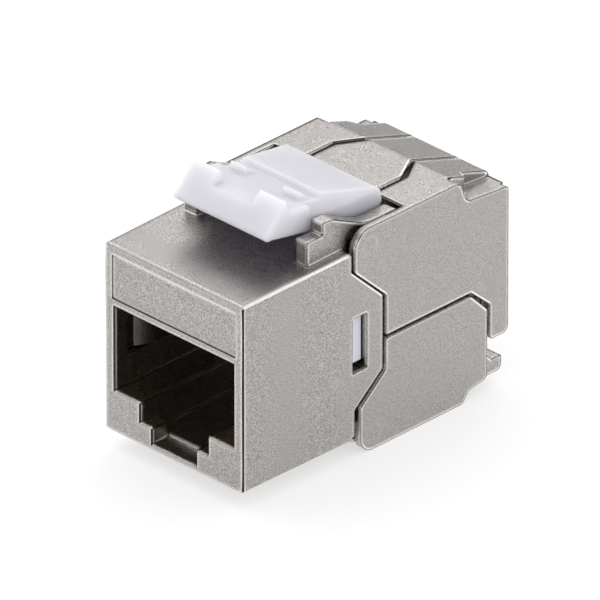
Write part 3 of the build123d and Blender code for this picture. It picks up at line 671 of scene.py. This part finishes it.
@dataclass
class Studio:
    """Pale floor, soft lamps, white world and the photograph's camera."""

    floor_radius_mm: float = 900.0
    floor_mm: float = -0.02
    floor_sides: int = 96
    floor_colour: str = "#F4F4F4"
    floor_glow: float = 1.15
    floor_glow_share: float = 0.5
    lens_mm: float = 1700.0
    sensor_mm: float = 36.0
    clip_m: tuple[float, float] = (0.1, 10.0)
    frame_px: int = 600
    px_per_mm: float = 13.161
    corner_mm: tuple[float, float, float] = (7.45, -14.4, 17.91)
    corner_px: tuple[float, float] = (242.9, 308.24)
    lamps: dict[Direction, Softbox] = field(default_factory=lambda: {
        Direction.KEY: Softbox(160.0, 110.0, 0.035),
        Direction.FILL: Softbox(180.0, 130.0, 0.025),
        Direction.BACK: Softbox(210.0, 130.0, 0.066),
        Direction.FRONT: Softbox(170.0, 120.0, 0.036),
    })
    tent_fill: float = 0.95
    tent_panels: tuple[tuple[float, str], ...] = (
        (0.0, "#707070"), (0.24, "#808080"), (0.38, WHITE), (0.58, WHITE),
        (0.7, "#B4B4B4"), (0.9, "#B4B4B4"), (0.98, WHITE),
    )

    def camera(self) -> None:
        """Set the camera from the front corner's place in the photograph."""
        azimuth, elevation = (math.radians(angle) for angle in Direction.PHOTOGRAPH.value)
        back = Direction.PHOTOGRAPH.unit()
        right = Vector((math.cos(azimuth), math.sin(azimuth), 0))
        up = Vector((
            -math.sin(azimuth) * math.sin(elevation),
            math.cos(azimuth) * math.sin(elevation),
            math.cos(elevation),
        ))
        middle = self.frame_px / 2
        target = (
            Vector(self.corner_mm)
            + right * (middle - self.corner_px[0]) / self.px_per_mm
            + up * (self.corner_px[1] - middle) / self.px_per_mm
        )
        distance = self.lens_mm / self.sensor_mm * self.frame_px / self.px_per_mm
        data = bpy.data.cameras.new("photograph_camera")
        data.lens = self.lens_mm
        data.sensor_width = self.sensor_mm
        data.clip_start, data.clip_end = self.clip_m
        camera = bpy.data.objects.new("photograph_camera", data)
        camera.location = (target + back * distance) * MM
        camera.rotation_mode = "QUATERNION"
        camera.rotation_quaternion = (-back).to_track_quat("-Z", "Y")
        bpy.context.scene.collection.objects.link(camera)
        bpy.context.scene.camera = camera

    def floor(self) -> None:
        """Lay a pale floor that the camera sees as white outside the jack's soft shadow."""
        bpy.ops.mesh.primitive_circle_add(
            vertices=self.floor_sides,
            radius=self.floor_radius_mm * MM,
            fill_type="NGON",
            location=(0, 0, self.floor_mm * MM),
        )
        floor = bpy.context.object
        floor.name = "pale_floor"
        material = bpy.data.materials.new("pale_floor")
        material.use_nodes = True
        tree = material.node_tree
        tree.nodes.clear()
        # Half matt paper and half glow: the floor comes out near white and still takes the shadow.
        paper = add_node(tree, "ShaderNodeBsdfDiffuse", {"Color": linear(self.floor_colour)})
        white = add_node(tree, "ShaderNodeEmission", {"Strength": self.floor_glow})
        ray = add_node(tree, "ShaderNodeLightPath")
        shown = add_node(
            tree, "ShaderNodeMath", {"operation": "MAXIMUM"},
            {0: ray.outputs["Is Camera Ray"], 1: ray.outputs["Is Glossy Ray"]},
        )
        share = add_node(
            tree, "ShaderNodeMath", {"operation": "MULTIPLY", 1: self.floor_glow_share},
            {0: shown.outputs[0]},
        )
        above = add_node(
            tree, "ShaderNodeMixShader", None,
            {0: share.outputs[0], 1: paper.outputs[0], 2: white.outputs[0]},
        )
        # From below the paper is clear, so that the jack's underside shows.
        side = add_node(tree, "ShaderNodeNewGeometry")
        below = add_node(tree, "ShaderNodeBsdfTransparent")
        mix = add_node(
            tree, "ShaderNodeMixShader", None,
            {0: side.outputs["Backfacing"], 1: above.outputs[0], 2: below.outputs[0]},
        )
        add_node(tree, "ShaderNodeOutputMaterial", None, {"Surface": mix.outputs[0]})
        floor.data.materials.append(material)

    def light(self) -> None:
        """Hang the soft lamps round the jack."""
        for direction, softbox in self.lamps.items():
            data = bpy.data.lights.new(direction.name.lower() + "_softbox", "AREA")
            data.shape = "SQUARE"
            data.size = softbox.side_mm * MM
            data.energy = softbox.watts
            lamp = bpy.data.objects.new(data.name, data)
            lamp.location = direction.unit() * softbox.distance_mm * MM
            lamp.rotation_mode = "QUATERNION"
            lamp.rotation_quaternion = (-direction.unit()).to_track_quat("-Z", "Y")
            bpy.context.scene.collection.objects.link(lamp)

    def tent(self) -> None:
        """Surround the jack with a white tent, grey in reflections near the horizon and high up."""
        world = bpy.data.worlds.new("white_tent")
        world.use_nodes = True
        tree = world.node_tree
        tree.nodes.clear()
        ray = add_node(tree, "ShaderNodeLightPath")
        sky = add_node(tree, "ShaderNodeTexCoord")
        height = add_node(tree, "ShaderNodeSeparateXYZ", None, {0: sky.outputs["Generated"]})
        panels = add_node(
            tree, "ShaderNodeValToRGB", {"stops": self.tent_panels}, {"Fac": height.outputs["Z"]}
        )
        backdrop = add_node(tree, "ShaderNodeBackground", {"Color": linear(WHITE), "Strength": 1.0})
        mirrored = add_node(
            tree, "ShaderNodeBackground", {"Strength": 1.0}, {"Color": panels.outputs["Color"]}
        )
        fill = add_node(
            tree, "ShaderNodeBackground", {"Color": linear(WHITE), "Strength": self.tent_fill}
        )
        seen = add_node(
            tree, "ShaderNodeMath", {"operation": "MAXIMUM"},
            {0: ray.outputs["Is Camera Ray"], 1: ray.outputs["Is Transmission Ray"]},
        )
        glossy = add_node(
            tree, "ShaderNodeMixShader", None,
            {0: ray.outputs["Is Glossy Ray"], 1: fill.outputs[0], 2: mirrored.outputs[0]},
        )
        mix = add_node(
            tree, "ShaderNodeMixShader", None,
            {0: seen.outputs[0], 1: glossy.outputs[0], 2: backdrop.outputs[0]},
        )
        add_node(tree, "ShaderNodeOutputWorld", None, {"Surface": mix.outputs[0]})
        bpy.context.scene.world = world

    def build(self) -> None:
        """Set up floor, lamps, world and camera."""
        self.floor()
        self.light()
        self.tent()
        self.camera()


def main() -> None:
    """Build each sub-assembly's looks, then the studio."""
    logging.basicConfig(level=logging.INFO, format="%(message)s")
    bpy.context.scene.view_settings.view_transform = "Standard"
    for part in (Castings(), Latch(), PortInside(), Termination(), Studio()):
        part.build()
        LOG.info("built %s", type(part).__name__)


if __name__ == "__main__":
    main()
